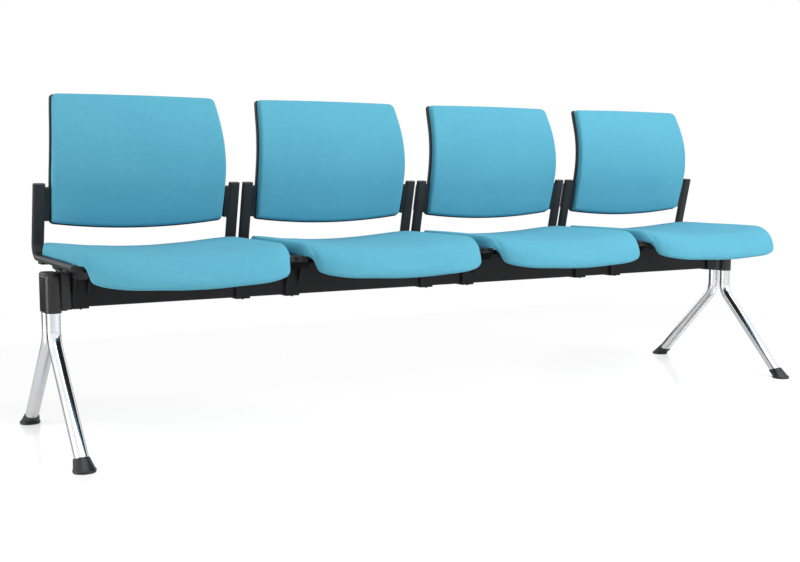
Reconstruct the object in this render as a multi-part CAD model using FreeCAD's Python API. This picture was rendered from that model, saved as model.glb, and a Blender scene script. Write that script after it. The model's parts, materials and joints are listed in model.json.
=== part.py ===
"""Four-seat beam seating.

A black steel beam runs between two end hubs.  Each hub holds two bent legs
that stand on round feet.  Brackets on the beam carry four chairs, each
with two bent flat-oval side frames, a moulded seat pan, a seat cushion, a
moulded back shell and a back cushion.

Millimetres.  X runs along the row, the sitter faces -Y and Z is up.  The
origin is on the floor, in the middle of the row.
"""

import FreeCAD, Part
import math
import os
from FreeCAD import Rotation, Vector

# Row
seat_count = 4
seat_half_width = 254.0
seat_spacing = 32.0

# Fits between pieces
soft_gap = 0.3
slide_fit = 0.2

# Allowances for cutting tools and for comparing positions
margin = 20.0
tiny = 0.01
near = 1.0
hexagon_sides = 6

# Side frames: flat-oval tube, bent once
tube_width = 30.0
tube_thickness = 15.0
tube_wall = 2.0
frame_inset = 3.0
rail_axis_z = 431.5
rail_front_y = -196.0
frame_corner_y = 185.0
frame_bend_radius = 30.0
upright_rise = 175.5
upright_lean = 13.0
cap_thickness = 4.0
cap_bevel = 1.0
cap_plug_depth = 10.0

# Beam
beam_depth = 40.0
beam_height = 80.0
beam_wall = 3.0
beam_corner = 4.0
beam_bottom_z = 325.0

# Seat brackets on the beam
bracket_inset = 49.0
bracket_width = 38.0
bracket_wall = 4.0
bracket_cheek = 7.0
bracket_arm_reach = 165.0
bracket_end_height = 14.0
bracket_root_height = 26.0
bracket_gusset = 22.0
strap_thickness = 3.0
clamp_bolt_diameter = 6.0
clamp_bolt_head = 11.0
clamp_bolt_head_height = 4.0
clamp_nut = 10.0
clamp_nut_height = 5.0
clamp_bolt_gap = 0.3

# Cross bars that tie the two rails of a chair
cross_bar_width = 40.0
cross_bar_thickness = 6.0
cross_bar_y = 120.0
cross_bar_overhang = 9.0
seat_bolt_diameter = 6.0
seat_bolt_head = 12.0
seat_bolt_head_height = 4.0
seat_bolt_boss = 18.0
seat_bolt_depth = 5.0

# Seat cushion and seat pan
seat_top_mid_z = 451.0
seat_dish = 17.0
seat_floor_dish = 8.0
dish_reference = 225.0
seat_front_y = -300.0
seat_front_corner = 130.0
seat_front_power = 2.6
seat_rear_y = 200.0
seat_rear_corner = 130.0
seat_rear_power = 3.0
seat_edge_drop = 12.0
seat_edge_power = 8.0
seat_nose_radius = 70.0
seat_lip_turn = 79.0
seat_lip_thickness = 20.0
seat_lip_thinning = 16.0
seat_lip_taper_width = 240.0
seat_under_radius = 30.0
seat_lip_corner = 92.0
seat_loft_steps = 4
pan_thickness = 4.0
pan_side_inset = 32.0
pan_front_y = -222.0
pan_rear_y = 186.0
pan_corner = 70.0

# Back cushion and back shell
back_bottom_drop = 92.0
back_height = 315.0
back_bottom_sag = 15.0
back_top_crown = 2.0
back_side_gap = 12.3
back_bottom_narrowing = 3.2
back_shoulder_narrowing = 5.2
back_top_narrowing = 16.2
back_widest_rise = 125.0
back_shoulder_drop = 95.0
back_belly_ahead = 9.0
back_belly_rise = 160.0
back_belly_radius = 250.0
back_lower_lean = 14.5
back_upper_lean = 23.5
back_cushion_proud = 18.0
back_shell_depth = 14.0
back_shell_wall = 3.0
back_shell_bevel = 4.0
back_rim = 3.0
back_shell_top_drop = 1.0
back_top_corner = 13.0
back_bottom_corner = 10.0

# Lugs that carry the back on the uprights
lug_length = 82.0
lug_drop = 7.0
lug_root = 1.5
lug_front = 5.0
lug_plate = 4.0
lug_cover = 11.0
lug_corner = 6.6
back_screw_diameter = 5.0
back_screw_head = 10.0
back_screw_head_height = 3.0
back_screw_spacing = 50.0

# Hubs and hub caps
hub_width = 38.0
hub_bottom_z = 316.0
hub_top_z = 402.0
hub_wall = 3.0
hub_cap_height = 6.0
hub_cap_bevel = 3.0
hub_cap_plug = 6.0
hub_cap_plug_inset = 8.0
spigot_length = 60.0
spigot_screw_diameter = 8.0
spigot_screw_head = 14.0
spigot_screw_head_height = 4.0
spigot_screw_depth = 16.0
collar_length = 24.0
collar_wall = 4.0
collar_gap = 1.0
collar_top_rise = 9.0

# Legs
leg_diameter = 32.0
leg_wall = 2.0
leg_spacing = 47.0
leg_insert = 60.0
leg_bend_radius = 60.0
leg_bend_z = 250.0
leg_foot_y = 267.0

# Feet
foot_diameter = 55.0
foot_flange_height = 8.0
foot_flange_bevel = 1.5
foot_shoulder_height = 20.0
foot_socket_wall = 2.5
foot_socket_height = 33.0
foot_insert_z = 18.0
foot_pad_height = 2.0
foot_pad_inset = 3.0

# Places worked out from the sizes above
seat_pitch = 2 * seat_half_width + seat_spacing
chair_centres = [(index - (seat_count - 1) / 2) * seat_pitch for index in range(seat_count)]
frame_offset = seat_half_width - frame_inset
bracket_offset = frame_offset - bracket_inset
pan_half_width = seat_half_width - pan_side_inset
bolt_rows = (-cross_bar_y, cross_bar_y)
last_bracket_end = chair_centres[-1] + bracket_offset + bracket_width / 2
hub_x = last_bracket_end + collar_gap + collar_length + hub_width / 2
beam_top_z = beam_bottom_z + beam_height
clamp_bolt_z = beam_top_z + clamp_bolt_diameter / 2 + clamp_bolt_gap
rail_bottom_z = rail_axis_z - tube_thickness / 2
rail_top_z = rail_axis_z + tube_thickness / 2
cross_bar_bottom_z = rail_bottom_z - cross_bar_thickness
bracket_top_z = cross_bar_bottom_z
hub_inner_x = hub_x - hub_width / 2
upright_top_z = rail_axis_z + upright_rise
upright_top_y = frame_corner_y - upright_rise * math.tan(math.radians(upright_lean))
back_bottom_z = upright_top_z - back_bottom_drop
back_top_z = back_bottom_z + back_height
back_widest_z = back_bottom_z + back_widest_rise
back_shoulder_z = back_top_z - back_shoulder_drop
back_belly_y = upright_top_y - back_belly_ahead
back_belly_z = back_bottom_z + back_belly_rise
back_widest_half_width = frame_offset - tube_width / 2 - back_side_gap
back_bottom_half_width = back_widest_half_width - back_bottom_narrowing
back_shoulder_half_width = back_widest_half_width - back_shoulder_narrowing
back_top_half_width = back_widest_half_width - back_top_narrowing
up = Vector(0, 0, 1)
across = Vector(1, 0, 0)
deep = Vector(0, 1, 0)


def save(name, *solids):
    shape = solids[0] if len(solids) == 1 else Part.makeCompound(list(solids))
    shape.exportStep("parts/" + name + ".step")


def line(start, end):
    return Part.makeLine(start, end)


def arc(start, middle, end):
    return Part.Arc(start, middle, end).toShape()


def box(x_range, y_range, z_range):
    size = [high - low for low, high in (x_range, y_range, z_range)]
    return Part.makeBox(*size, Vector(x_range[0], y_range[0], z_range[0]))


def moved(shape, way):
    copy = shape.copy()
    copy.translate(way)
    return copy


def mirrored(shape, normal):
    return shape.mirror(Vector(0, 0, 0), normal)


def flat_oval(width, thickness, centre, long_way, short_way):
    """Outline with two straight sides and two full-round ends."""
    radius = thickness / 2
    long_half = long_way * (width / 2 - radius)
    tip = long_way * (width / 2)
    side = short_way * radius
    corners = [centre - long_half + side, centre + long_half + side,
               centre + long_half - side, centre - long_half - side]
    edges = [line(corners[0], corners[1]), arc(corners[1], centre + tip, corners[2]),
             line(corners[2], corners[3]), arc(corners[3], centre - tip, corners[0])]
    return Part.Wire(edges)


def oval_bar(width, thickness, centre, long_way, short_way, length):
    """Flat-oval outline pushed along long_way x short_way."""
    outline = flat_oval(width, thickness, centre, long_way, short_way)
    return Part.Face(outline).extrude(long_way.cross(short_way) * length)


def bent_bar(face, start, corner, end, radius):
    """Section pushed along two straight runs joined by a bend in the YZ plane."""
    first_way = (corner - start).normalize()
    last_way = (end - corner).normalize()
    turn = first_way.getAngle(last_way)
    setback = radius * math.tan(turn / 2)
    first_length = (corner - start).Length - setback
    last_length = (end - corner).Length - setback
    inward = (last_way - first_way).normalize()
    centre = corner + inward * (radius / math.cos(turn / 2))
    axis = first_way.cross(last_way).normalize()
    first = face.extrude(first_way * first_length)
    bend_face = moved(face, first_way * first_length)
    bend = bend_face.revolve(centre, axis, math.degrees(turn))
    last_face = bend_face.copy()
    last_face.rotate(centre, axis, math.degrees(turn))
    last = last_face.extrude(last_way * last_length)
    return first.fuse([bend, last])


def hexagon_head(across_flats, height, base, direction):
    circumradius = across_flats / 2 / math.cos(math.pi / hexagon_sides)
    turn = Rotation(up, direction)
    corners = []
    for step in range(hexagon_sides + 1):
        angle = math.tau * step / hexagon_sides
        local = Vector(circumradius * math.cos(angle), circumradius * math.sin(angle), 0)
        corners.append(base + turn.multVec(local))
    return Part.Face(Part.makePolygon(corners)).extrude(direction * height)


# Side frames

def upright_direction():
    lean = math.radians(upright_lean)
    return Vector(0, -math.sin(lean), math.cos(lean))


def frame_corner():
    return Vector(0, frame_corner_y, rail_axis_z)


def upright_point(height_z):
    """Point of the upright's axis at a height."""
    return frame_corner() + upright_direction() * ((height_z - rail_axis_z) / upright_direction().z)


def frame_sweep(width, thickness):
    start = Vector(0, rail_front_y, rail_axis_z)
    section = Part.Face(flat_oval(width, thickness, start, across, up))
    return bent_bar(section, start, frame_corner(), upright_point(upright_top_z), frame_bend_radius)


def tube_cap():
    """Plug with a bevelled head, pushed into an open tube end along -Z."""
    head = oval_bar(tube_width, tube_thickness, Vector(0, 0, 0), across, deep, cap_thickness)
    head = head.makeChamfer(cap_bevel, rim_at(head, cap_thickness))
    plug_size = [size - 2 * (tube_wall + slide_fit) for size in (tube_width, tube_thickness)]
    plug = oval_bar(*plug_size, Vector(0, 0, -cap_plug_depth), across, deep, cap_plug_depth)
    return head.fuse(plug).removeSplitter()


def placed_cap(tilt, place):
    cap = tube_cap()
    cap.rotate(Vector(0, 0, 0), across, tilt)
    cap.translate(place)
    return cap


def lug_middle():
    return upright_point(upright_top_z) - upright_direction() * (lug_drop + lug_length / 2)


def back_screw_places():
    """Screw axes at the rear face of the upright."""
    middle = lug_middle() + rearward() * (tube_thickness / 2)
    steps = (-back_screw_spacing / 2, back_screw_spacing / 2)
    return [middle + upright_direction() * step for step in steps]


def rearward():
    return across.cross(upright_direction()) * -1.0


def side_frame():
    tube = frame_sweep(tube_width, tube_thickness)
    inside = frame_sweep(tube_width - 2 * tube_wall, tube_thickness - 2 * tube_wall)
    tube = tube.cut(inside)
    for place in back_screw_places():
        start = place - rearward() * (tube_thickness / 2)
        tube = tube.cut(Part.makeCylinder(back_screw_diameter / 2, tube_thickness, start, rearward()))
    return tube


# Beam, brackets and cross bars

def beam():
    half = hub_inner_x
    outer = box((-half, half), (-beam_depth / 2, beam_depth / 2), (beam_bottom_z, beam_top_z))
    outer = outer.makeFillet(beam_corner, edges_of_length(outer, 2 * half))
    inner = box((-half, half), (-beam_depth / 2 + beam_wall, beam_depth / 2 - beam_wall),
                (beam_bottom_z + beam_wall, beam_top_z - beam_wall))
    inner = inner.makeFillet(beam_corner - beam_wall, edges_of_length(inner, 2 * half))
    tube = outer.cut(inner)
    for place in spigot_screw_places():
        tube = tube.cut(Part.makeCylinder(spigot_screw_diameter / 2, beam_wall, place, up))
    return tube


def edges_of_length(shape, length):
    """Edges of a given length."""
    return [edge for edge in shape.Edges if abs(edge.Length - length) < tiny]


def spigot_screw_places():
    """Screws from below that hold collar, beam and hub spigot together."""
    reach = hub_inner_x - collar_length / 2
    return [Vector(side * reach, 0, beam_bottom_z) for side in (-1, 1)]


def bracket_outline():
    """Side view of a bracket: a T whose stem hugs the beam."""
    stem = beam_depth / 2 + bracket_cheek
    top = bracket_top_z
    half = [(0, top), (bracket_arm_reach, top), (bracket_arm_reach, top - bracket_end_height),
            (stem + bracket_gusset, top - bracket_root_height),
            (stem, top - bracket_root_height - 2 * bracket_gusset), (stem, beam_bottom_z)]
    points = [Vector(0, y, z) for y, z in half]
    points += [Vector(0, -y, z) for y, z in reversed(half[1:])]
    return Part.makePolygon(points + [points[0]])


def beam_bracket():
    body = Part.Face(bracket_outline()).extrude(across * bracket_width)
    body.translate(across * (-bracket_width / 2))
    half_depth = beam_depth / 2
    below = beam_bottom_z - margin
    body = body.cut(box((-bracket_width, bracket_width), (-half_depth, half_depth), (below, beam_top_z)))
    inside = bracket_width / 2 - bracket_wall
    ceiling = bracket_top_z - bracket_wall
    body = body.cut(box((-inside, inside), (-half_depth, half_depth), (below, ceiling)))
    stem = half_depth + bracket_cheek
    reach = bracket_arm_reach - bracket_wall
    for side in (-1, 1):
        span = sorted((side * stem, side * reach))
        body = body.cut(box((-inside, inside), span, (below, ceiling)))
    bolt_start = Vector(0, -stem, clamp_bolt_z)
    body = body.cut(Part.makeCylinder(clamp_bolt_diameter / 2, 2 * stem, bolt_start, deep))
    for y in bolt_rows:
        hole = Vector(0, y, ceiling)
        body = body.cut(Part.makeCylinder(seat_bolt_diameter / 2, bracket_wall, hole, up))
    return body


def bracket_strap():
    """Plate that closes the bracket under the beam."""
    half = beam_depth / 2 + bracket_cheek
    width = bracket_width / 2
    return box((-width, width), (-half, half), (beam_bottom_z - strap_thickness, beam_bottom_z))


def clamp_bolt():
    """Bolt through both cheeks above the beam, with its nut."""
    stem = beam_depth / 2 + bracket_cheek
    front = Vector(0, -stem, clamp_bolt_z)
    rear = Vector(0, stem, clamp_bolt_z)
    shank = Part.makeCylinder(clamp_bolt_diameter / 2, 2 * stem, front, deep)
    head = Part.makeCylinder(clamp_bolt_head / 2, clamp_bolt_head_height, front, deep * -1.0)
    nut = hexagon_head(clamp_nut, clamp_nut_height, rear, deep)
    return shank.fuse([head, nut]).removeSplitter()


def cross_bar():
    half = frame_offset + cross_bar_overhang
    width = cross_bar_width / 2
    bar = box((-half, half), (-width, width), (cross_bar_bottom_z, rail_bottom_z))
    for side in (-1, 1):
        hole = Vector(side * bracket_offset, 0, cross_bar_bottom_z)
        bar = bar.cut(Part.makeCylinder(seat_bolt_diameter / 2, cross_bar_thickness, hole, up))
    return bar


def seat_bolt():
    """Bolt from under the bracket, through the cross bar, into a boss of the pan."""
    seat = Vector(0, 0, bracket_top_z - bracket_wall)
    length = bracket_wall + cross_bar_thickness + seat_bolt_depth
    shank = Part.makeCylinder(seat_bolt_diameter / 2, length, seat, up)
    head = hexagon_head(seat_bolt_head, seat_bolt_head_height, seat, up * -1.0)
    return shank.fuse(head).removeSplitter()


# Seat

def falling_edge(share, depth, power):
    """Zero in the middle, falling to depth at the side along a squared-off round."""
    inside = max(0.0, 1.0 - abs(share) ** power)
    return depth * (1.0 - inside ** (1.0 / power))


def seat_section(x):
    """Sizes of the seat's side profile at a distance from the chair's middle."""
    share = x / seat_half_width
    dish = (x / dish_reference) ** 2
    top = seat_top_mid_z + seat_dish * dish
    floor = rail_bottom_z + pan_thickness + soft_gap + seat_floor_dish * dish
    front = seat_front_y + falling_edge(share, seat_front_corner, seat_front_power)
    rear = seat_rear_y - falling_edge(share, seat_rear_corner, seat_rear_power)
    nose = Vector(x, front + seat_nose_radius, top - seat_nose_radius)
    radius = seat_nose_radius - falling_edge(share, seat_edge_drop, seat_edge_power)
    return nose, radius, floor, rear


def lip_thickness(x):
    share = min(1.0, abs(x) / seat_lip_taper_width)
    return seat_lip_thickness - falling_edge(share, seat_lip_thinning, seat_front_power)


def turned(centre, radius, degrees):
    """Point on a side-view arc that starts above its centre and turns forward."""
    angle = math.radians(degrees)
    return centre + Vector(0, -radius * math.sin(angle), radius * math.cos(angle))


def under_centre(lip_end, floor):
    """Centre of the bend where the seat's flat underside meets its hanging lip."""
    centre_z = floor - seat_under_radius
    reach = math.sqrt(seat_under_radius ** 2 - (lip_end.z - centre_z) ** 2)
    return Vector(lip_end.x, lip_end.y + reach, centre_z)


def cushion_section(x):
    """Closed side profile: a thick nose that rolls over into a thin hanging lip."""
    nose, radius, floor, rear = seat_section(x)
    lip_top = turned(nose, radius, seat_lip_turn)
    lip_end = turned(nose, radius - lip_thickness(x), seat_lip_turn)
    centre = under_centre(lip_end, floor)
    lip_way = Vector(0, -math.cos(math.radians(seat_lip_turn)), -math.sin(math.radians(seat_lip_turn)))
    lip_tip = (lip_top + lip_end) / 2 + lip_way * (lip_thickness(x) / 2)
    bend_start = centre + up * seat_under_radius
    bend_turn = math.degrees(math.atan2(centre.y - lip_end.y, lip_end.z - centre.z))
    rear_round = (nose.z + radius - floor) / 2
    rear_top = Vector(x, rear - rear_round, nose.z + radius)
    rear_low = Vector(x, rear - rear_round, floor)
    rear_tip = Vector(x, rear, floor + rear_round)
    edges = [line(rear_top, turned(nose, radius, 0)),
             arc(turned(nose, radius, 0), turned(nose, radius, seat_lip_turn / 2), lip_top),
             arc(lip_top, lip_tip, lip_end),
             arc(lip_end, turned(centre, seat_under_radius, bend_turn / 2), bend_start),
             line(bend_start, rear_low),
             arc(rear_low, rear_tip, rear_top)]
    return Part.Wire(edges)


def loft_across(section, half_width, steps):
    """Solid through side profiles that crowd together towards both sides."""
    turns = [math.pi / 2 * step / steps for step in range(-steps, steps + 1)]
    return Part.makeLoft([section(half_width * math.sin(turn)) for turn in turns], True, True)


def seat_cushion():
    cushion = loft_across(cushion_section, seat_half_width, seat_loft_steps)
    return cushion.cut([rail_room(-1), rail_room(1)])


def rail_room(side):
    """Room for a rail beside the cushion, which also rounds the lip's lower corner."""
    inner = frame_offset - tube_width / 2 - soft_gap
    ceiling = rail_top_z + soft_gap
    length = seat_rear_y - seat_front_y + 2 * margin
    span = sorted((side * (inner - seat_lip_corner), side * (seat_half_width + margin)))
    room = box(span, (seat_front_y - margin, seat_rear_y + margin), (ceiling - seat_lip_corner, ceiling))
    start = Vector(side * (inner - seat_lip_corner), seat_front_y - margin, ceiling)
    return room.cut(Part.makeCylinder(seat_lip_corner, length, start, deep))


def dished_layer(low, high):
    """Slab that rises to both sides with the dish of the seat's underside."""
    half = pan_half_width + margin
    rise = seat_floor_dish * (half / dish_reference) ** 2
    length = pan_rear_y - pan_front_y + 2 * margin

    def at(x, z):
        return Vector(x, pan_front_y - margin, z)

    edges = [arc(at(-half, low + rise), at(0, low), at(half, low + rise)),
             line(at(half, low + rise), at(half, high + rise)),
             arc(at(half, high + rise), at(0, high), at(-half, high + rise)),
             line(at(-half, high + rise), at(-half, low + rise))]
    return Part.Face(Part.Wire(edges)).extrude(deep * length)


def seat_pan():
    """Dished sheet with rounded corners and a boss over each bolt."""
    heights = (rail_bottom_z - margin, rail_top_z + margin)
    plan = box((-pan_half_width, pan_half_width), (pan_front_y, pan_rear_y), heights)
    plan = plan.makeFillet(pan_corner, edges_of_length(plan, tube_thickness + 2 * margin))
    pan = plan.common(dished_layer(rail_bottom_z, rail_bottom_z + pan_thickness))
    boss_height = seat_floor_dish * (bracket_offset / dish_reference) ** 2 + pan_thickness / 2
    for x in (-bracket_offset, bracket_offset):
        for y in bolt_rows:
            place = Vector(x, y, rail_bottom_z)
            pan = pan.fuse(Part.makeCylinder(seat_bolt_boss / 2, boss_height, place, up))
            pan = pan.cut(Part.makeCylinder(seat_bolt_diameter / 2, seat_bolt_depth, place, up))
    return pan


# Back

def upper_side(grow):
    """Circle of the back's side above its widest height."""
    return Part.Circle(Vector(back_widest_half_width + grow, 0, back_widest_z),
                       Vector(back_shoulder_half_width + grow, 0, back_shoulder_z),
                       Vector(back_top_half_width + grow, 0, back_top_z))


def lower_side(grow):
    """Circle of the back's side below its widest height, upright where it is widest."""
    wide = Vector(back_widest_half_width + grow, 0, back_widest_z)
    low = Vector(back_bottom_half_width + grow, 0, back_bottom_z)
    fall = wide - low
    radius = fall.Length ** 2 / (2 * fall.x)
    return Part.Circle(wide - across * radius, deep, radius)


def side_point(circle, height_z):
    """Point of a side circle at a height."""
    rise = height_z - circle.Center.z
    return Vector(circle.Center.x + math.sqrt(circle.Radius ** 2 - rise ** 2), 0, height_z)


def back_outline(grow, top):
    """Front view of the back, grown by a margin at its sides and bottom."""
    bottom = back_bottom_z - grow
    above = upper_side(grow)
    below = lower_side(grow)
    right = [side_point(below, bottom), side_point(below, (bottom + back_widest_z) / 2),
             Vector(back_widest_half_width + grow, 0, back_widest_z),
             side_point(above, (back_widest_z + top) / 2), side_point(above, top)]
    left = [Vector(-point.x, 0, point.z) for point in right]
    edges = [arc(left[0], Vector(0, 0, bottom - back_bottom_sag), right[0]),
             arc(*right[0:3]), arc(*right[2:5]),
             arc(right[4], Vector(0, 0, top + back_top_crown), left[4]),
             arc(*reversed(left[2:5])), arc(*reversed(left[0:3]))]
    return Part.Wire(edges)


def back_prism(grow, top):
    """Outline of the back pushed along Y, with round corners."""
    depth = back_belly_y + back_belly_radius
    prism = Part.Face(back_outline(grow, top)).extrude(deep * depth)
    for height, radius in ((top, back_top_corner), (back_bottom_z - grow, back_bottom_corner + grow)):
        corners = [edge for edge in edges_of_length(prism, depth) if abs(edge.CenterOfMass.z - height) < near]
        prism = prism.makeFillet(radius, corners)
    return prism


def back_curve(offset):
    """Side view of the back as a line, an arc and a line, offset forward."""
    radius = back_belly_radius + offset
    centre = Vector(0, back_belly_y + back_belly_radius, back_belly_z)

    def at(angle):
        turn = math.radians(angle)
        return centre + Vector(0, -radius * math.cos(turn), radius * math.sin(turn))

    def along(angle):
        turn = math.radians(angle)
        return Vector(0, math.sin(turn), math.cos(turn))

    low = at(-back_lower_lean)
    high = at(back_upper_lean)
    bottom = low - along(-back_lower_lean) * (low.z - back_bottom_z + 2 * margin)
    top = high + along(back_upper_lean) * (back_top_z - high.z + 2 * margin)
    return [bottom, low, at((back_upper_lean - back_lower_lean) / 2), high, top]


def back_layer(front, rear):
    """Slab between two offsets of the back's side view."""
    half = back_widest_half_width + margin
    ahead = back_curve(front)
    behind = back_curve(rear)
    edges = [line(ahead[0], ahead[1]), arc(*ahead[1:4]), line(ahead[3], ahead[4]),
             line(ahead[4], behind[4]), line(behind[4], behind[3]), arc(*reversed(behind[1:4])),
             line(behind[1], behind[0]), line(behind[0], ahead[0])]
    slab = Part.Face(Part.Wire(edges)).extrude(across * (2 * half))
    slab.translate(across * -half)
    return slab


def back_cushion():
    depth = back_shell_depth - back_shell_wall - soft_gap
    return back_prism(0, back_top_z).common(back_layer(back_cushion_proud, -depth))


def rim_edges(body, offset):
    """Edges round the skin that lies on an offset of the back's side view."""
    skin = [face for face in body.Faces if abs(back_offset(middle_of(face)) - offset) < tiny]
    edges = [edge for face in skin for edge in face.Edges]
    return [edge for edge in edges if sum(edge.isSame(other) for other in edges) == 1]


def middle_of(face):
    u_first, u_last, v_first, v_last = face.ParameterRange
    return face.valueAt((u_first + u_last) / 2, (v_first + v_last) / 2)


def back_offset(point):
    """Distance of a point ahead of the back's reference curve."""
    centre_y = back_belly_y + back_belly_radius
    angle = math.degrees(math.atan2(point.z - back_belly_z, centre_y - point.y))
    angle = max(-back_lower_lean, min(back_upper_lean, angle))
    turn = math.radians(angle)
    normal = Vector(0, -math.cos(turn), math.sin(turn))
    centre = Vector(point.x, centre_y, back_belly_z)
    return (point - centre).dot(normal) - back_belly_radius


def back_lug():
    """Block between the shell and the upright, with an ear behind the upright."""
    middle = lug_middle()
    root = back_widest_half_width + lug_root - frame_offset
    tube_half = tube_thickness / 2
    filler = box((root, 0), (-lug_front, tube_half + lug_plate), (-lug_length / 2, lug_length / 2))
    ear = box((0, lug_cover), (tube_half, tube_half + lug_plate), (-lug_length / 2, lug_length / 2))
    ear = ear.makeFillet(lug_corner, [edge for edge in edges_of_length(ear, lug_plate)
                                      if edge.CenterOfMass.x > near])
    lug = filler.fuse(ear).removeSplitter()
    lug.rotate(Vector(0, 0, 0), across, upright_lean)
    lug.translate(middle)
    lug = lug.cut(frame_sweep(tube_width, tube_thickness))
    for place in back_screw_places():
        lug = lug.cut(Part.makeCylinder(back_screw_diameter / 2, lug_plate, place, rearward()))
    return lug


def back_shell():
    """Shell whose pocket holds the cushion and is open at the top."""
    depth = back_shell_depth
    shell = back_prism(back_rim, back_top_z - back_shell_top_drop).common(back_layer(0, -depth))
    shell = shell.makeChamfer(back_shell_bevel, rim_edges(shell, -depth))
    pocket = back_prism(soft_gap, back_top_z + margin).common(back_layer(near, -depth + back_shell_wall))
    shell = shell.cut(pocket)
    right = moved(back_lug(), across * frame_offset)
    shell = shell.fuse([right, mirrored(right, across)])
    return shell.removeSplitter()


def back_screw(place):
    seat = place + rearward() * lug_plate
    length = lug_plate + tube_wall
    shank = Part.makeCylinder(back_screw_diameter / 2, length, seat - rearward() * length, rearward())
    head = Part.makeCylinder(back_screw_head / 2, back_screw_head_height, seat, rearward())
    return shank.fuse(head).removeSplitter()


# Hubs, legs and feet

def plan_oval(width, length, z):
    return flat_oval(length, width, Vector(0, 0, z), deep, across)


def leg_way():
    """Direction of a front leg, from its foot upwards."""
    return Vector(0, leg_foot_y - leg_spacing / 2, leg_bend_z).normalize()


def leg_point(height_z):
    """Point of the axis of a front leg's sloping run at a height."""
    return Vector(0, -leg_foot_y, 0) + leg_way() * (height_z / leg_way().z)


def ring_at(centre, radius):
    return Part.Wire(Part.Circle(centre, up, radius).toShape())


def leg_bar(radius):
    """Round bar from inside the hub to inside the foot, bent once."""
    top = Vector(0, -leg_spacing / 2, hub_bottom_z + leg_insert)
    corner = Vector(0, -leg_spacing / 2, leg_bend_z)
    section = Part.Face(ring_at(top, radius))
    return bent_bar(section, top, corner, leg_point(foot_insert_z), leg_bend_radius)


def leg():
    return leg_bar(leg_diameter / 2).cut(leg_bar(leg_diameter / 2 - leg_wall))


def hub_sleeve():
    """Casting with two bores for the legs."""
    body = Part.Face(plan_oval(hub_width, hub_length(), hub_bottom_z)).extrude(up * (hub_top_z - hub_bottom_z))
    for side in (-1, 1):
        start = Vector(0, side * leg_spacing / 2, hub_bottom_z)
        body = body.cut(Part.makeCylinder(leg_diameter / 2, leg_insert, start, up))
    return body.cut(hub_plug(slide_fit))


def hub_length():
    return leg_spacing + leg_diameter + 2 * hub_wall


def hub_plug(grow):
    outline = plan_oval(hub_width - 2 * hub_cap_plug_inset + 2 * grow,
                        hub_length() - 2 * hub_cap_plug_inset + 2 * grow, hub_top_z - hub_cap_plug - grow)
    return Part.Face(outline).extrude(up * (hub_cap_plug + grow))


def hub_cap():
    disc = Part.Face(plan_oval(hub_width, hub_length(), hub_top_z)).extrude(up * hub_cap_height)
    disc = disc.makeChamfer(hub_cap_bevel, rim_at(disc, hub_top_z + hub_cap_height))
    return disc.fuse(hub_plug(0)).removeSplitter()


def foot():
    """Round foot whose sleeve leans with the leg and is cut off square to it."""
    base = Vector(0, -leg_foot_y, 0)
    radius = foot_diameter / 2
    sleeve_radius = leg_diameter / 2 + foot_socket_wall
    flange = Part.makeCylinder(radius, foot_flange_height - foot_pad_height, base + up * foot_pad_height)
    flange = flange.makeChamfer(foot_flange_bevel, rim_at(flange, foot_flange_height))
    shoulder = Part.makeCone(radius - foot_flange_bevel, sleeve_radius,
                             foot_shoulder_height - foot_flange_height, base + up * foot_flange_height)
    root = leg_point(-leg_diameter)
    reach = (leg_point(foot_socket_height) - root).Length
    sleeve = Part.makeCylinder(sleeve_radius, reach, root, leg_way())
    layer = box((-leg_foot_y, leg_foot_y), (-2 * leg_foot_y, 0), (foot_pad_height, leg_bend_z))
    body = flange.fuse([shoulder, sleeve.common(layer)])
    return body.removeSplitter().cut(leg_bar(leg_diameter / 2))


def rim_at(shape, height_z):
    """Edges that lie level at a height."""
    return [edge for edge in shape.Edges if edge.BoundBox.ZMin > height_z - tiny]


def foot_pad():
    base = Vector(0, -leg_foot_y, 0)
    return Part.makeCylinder(foot_diameter / 2 - foot_pad_inset, foot_pad_height, base, up)


def beam_spigot():
    """Tongue of the hub inside the beam."""
    gap = beam_wall + slide_fit
    tongue = box((hub_inner_x - spigot_length, hub_inner_x), (-beam_depth / 2 + gap, beam_depth / 2 - gap),
                 (beam_bottom_z + gap, beam_top_z - gap))
    tongue = tongue.makeFillet(beam_corner - beam_wall, edges_of_length(tongue, spigot_length))
    hole = Part.makeCylinder(spigot_screw_diameter / 2, beam_wall + spigot_screw_depth,
                             spigot_screw_places()[1], up)
    return tongue.cut(hole)


def beam_collar():
    """Collar round the beam's end, against the hub."""
    half = beam_depth / 2 + collar_wall
    span = (hub_inner_x - collar_length, hub_inner_x)
    body = box(span, (-half, half), (beam_bottom_z - collar_wall, beam_top_z + collar_top_rise))
    room = box(span, (-beam_depth / 2, beam_depth / 2), (beam_bottom_z, beam_top_z))
    room = room.makeFillet(beam_corner, edges_of_length(room, collar_length))
    start = spigot_screw_places()[1] - up * collar_wall
    return body.cut([room, Part.makeCylinder(spigot_screw_diameter / 2, collar_wall, start, up)])


def spigot_screw(place):
    seat = place - up * collar_wall
    length = collar_wall + beam_wall + spigot_screw_depth
    shank = Part.makeCylinder(spigot_screw_diameter / 2, length, seat, up)
    head = Part.makeCylinder(spigot_screw_head / 2, spigot_screw_head_height, seat, up * -1.0)
    return shank.fuse(head).removeSplitter()


# Write the pieces

os.makedirs("parts", exist_ok=True)

frame_shape = side_frame()
bracket_shape = beam_bracket()
bar_shape = cross_bar()
cushion_shape = seat_cushion()
pan_shape = seat_pan()
back_cushion_shape = back_cushion()
back_shell_shape = back_shell()
upright_cap = placed_cap(upright_lean, upright_point(upright_top_z))
rail_cap = placed_cap(90.0, Vector(0, rail_front_y, rail_axis_z))

upright_caps = []
rail_caps = []
seat_bolts = []
back_screws = []
clamp_bolts = []
straps = []

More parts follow.
